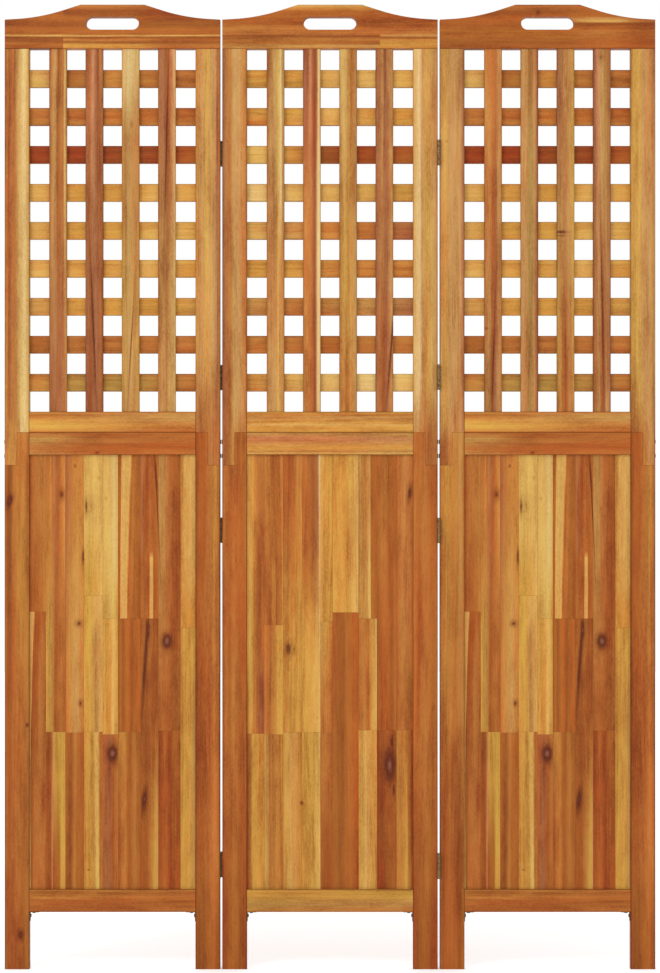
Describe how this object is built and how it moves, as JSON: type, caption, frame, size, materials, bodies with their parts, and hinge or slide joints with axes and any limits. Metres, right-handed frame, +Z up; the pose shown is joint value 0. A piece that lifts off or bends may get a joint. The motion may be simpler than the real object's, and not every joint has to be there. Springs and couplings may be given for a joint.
{
  "type": "room divider",
  "caption": "Hinged folding wooden room divider: solid stave boards below, open lattices above, arched top rails with handle slots.",
  "frame": {"origin": "on the floor, under the middle of the open screen", "axes": "+X to the right, +Y to the back (the cross slats' side), +Z up"},
  "size_m": [1.2172, 0.0336, 1.8],
  "materials": {
    "frame_wood": "oiled satin",
    "lattice_wood": "oiled satin",
    "board_wood": "oiled satin, edge-glued staves",
    "hinge_steel": "dark zinc, dull",
    "screw_steel": "zinc, satin"
  },
  "bodies": {
    "left_panel": {"left_panel_top_rail": "frame_wood", "left_panel_upper_left_stile": "frame_wood", "left_panel_upper_right_stile": "frame_wood", "left_panel_lattice_rail": "frame_wood", "left_panel_lower_left_stile": "frame_wood", "left_panel_lower_right_stile": "frame_wood", "left_panel_panel_rail": "frame_wood", "left_panel_bottom_rail": "frame_wood", "left_panel_vertical_slat_1": "lattice_wood", "left_panel_vertical_slat_2": "lattice_wood", "left_panel_vertical_slat_3": "lattice_wood", "left_panel_vertical_slat_4": "lattice_wood", "left_panel_cross_slats": "lattice_wood", "left_panel_board": "board_wood", "left_panel_lap_screws": "screw_steel", "left_panel_corner_brackets": "hinge_steel", "left_panel_bracket_screws": "screw_steel", "left_panel_hinge_screws": "screw_steel", "left_hinge_left_leaves": "hinge_steel"},
    "middle_panel": {"middle_panel_top_rail": "frame_wood", "middle_panel_upper_left_stile": "frame_wood", "middle_panel_upper_right_stile": "frame_wood", "middle_panel_lattice_rail": "frame_wood", "middle_panel_lower_left_stile": "frame_wood", "middle_panel_lower_right_stile": "frame_wood", "middle_panel_panel_rail": "frame_wood", "middle_panel_bottom_rail": "frame_wood", "middle_panel_vertical_slat_1": "lattice_wood", "middle_panel_vertical_slat_2": "lattice_wood", "middle_panel_vertical_slat_3": "lattice_wood", "middle_panel_vertical_slat_4": "lattice_wood", "middle_panel_cross_slats": "lattice_wood", "middle_panel_board": "board_wood", "middle_panel_lap_screws": "screw_steel", "middle_panel_corner_brackets": "hinge_steel", "middle_panel_bracket_screws": "screw_steel", "middle_panel_hinge_screws": "screw_steel", "left_hinge_middle_leaves": "hinge_steel", "left_hinge_pins": "screw_steel", "right_hinge_middle_leaves": "hinge_steel", "right_hinge_pins": "screw_steel"},
    "right_panel": {"right_panel_top_rail": "frame_wood", "right_panel_upper_left_stile": "frame_wood", "right_panel_upper_right_stile": "frame_wood", "right_panel_lattice_rail": "frame_wood", "right_panel_lower_left_stile": "frame_wood", "right_panel_lower_right_stile": "frame_wood", "right_panel_panel_rail": "frame_wood", "right_panel_bottom_rail": "frame_wood", "right_panel_vertical_slat_1": "lattice_wood", "right_panel_vertical_slat_2": "lattice_wood", "right_panel_vertical_slat_3": "lattice_wood", "right_panel_vertical_slat_4": "lattice_wood", "right_panel_cross_slats": "lattice_wood", "right_panel_board": "board_wood", "right_panel_lap_screws": "screw_steel", "right_panel_corner_brackets": "hinge_steel", "right_panel_bracket_screws": "screw_steel", "right_panel_hinge_screws": "screw_steel", "right_hinge_right_leaves": "hinge_steel"}
  },
  "joints": [
    {"name": "left_fold", "type": "hinge", "parent": "middle_panel", "child": "left_panel", "pos_m": [-0.203, 0.0135, 0], "axis": [0, 0, -1], "range_deg": [0, 180]},
    {"name": "right_fold", "type": "hinge", "parent": "middle_panel", "child": "right_panel", "pos_m": [0.203, -0.0135, 0], "axis": [0, 0, -1], "range_deg": [0, 180]}
  ]
}
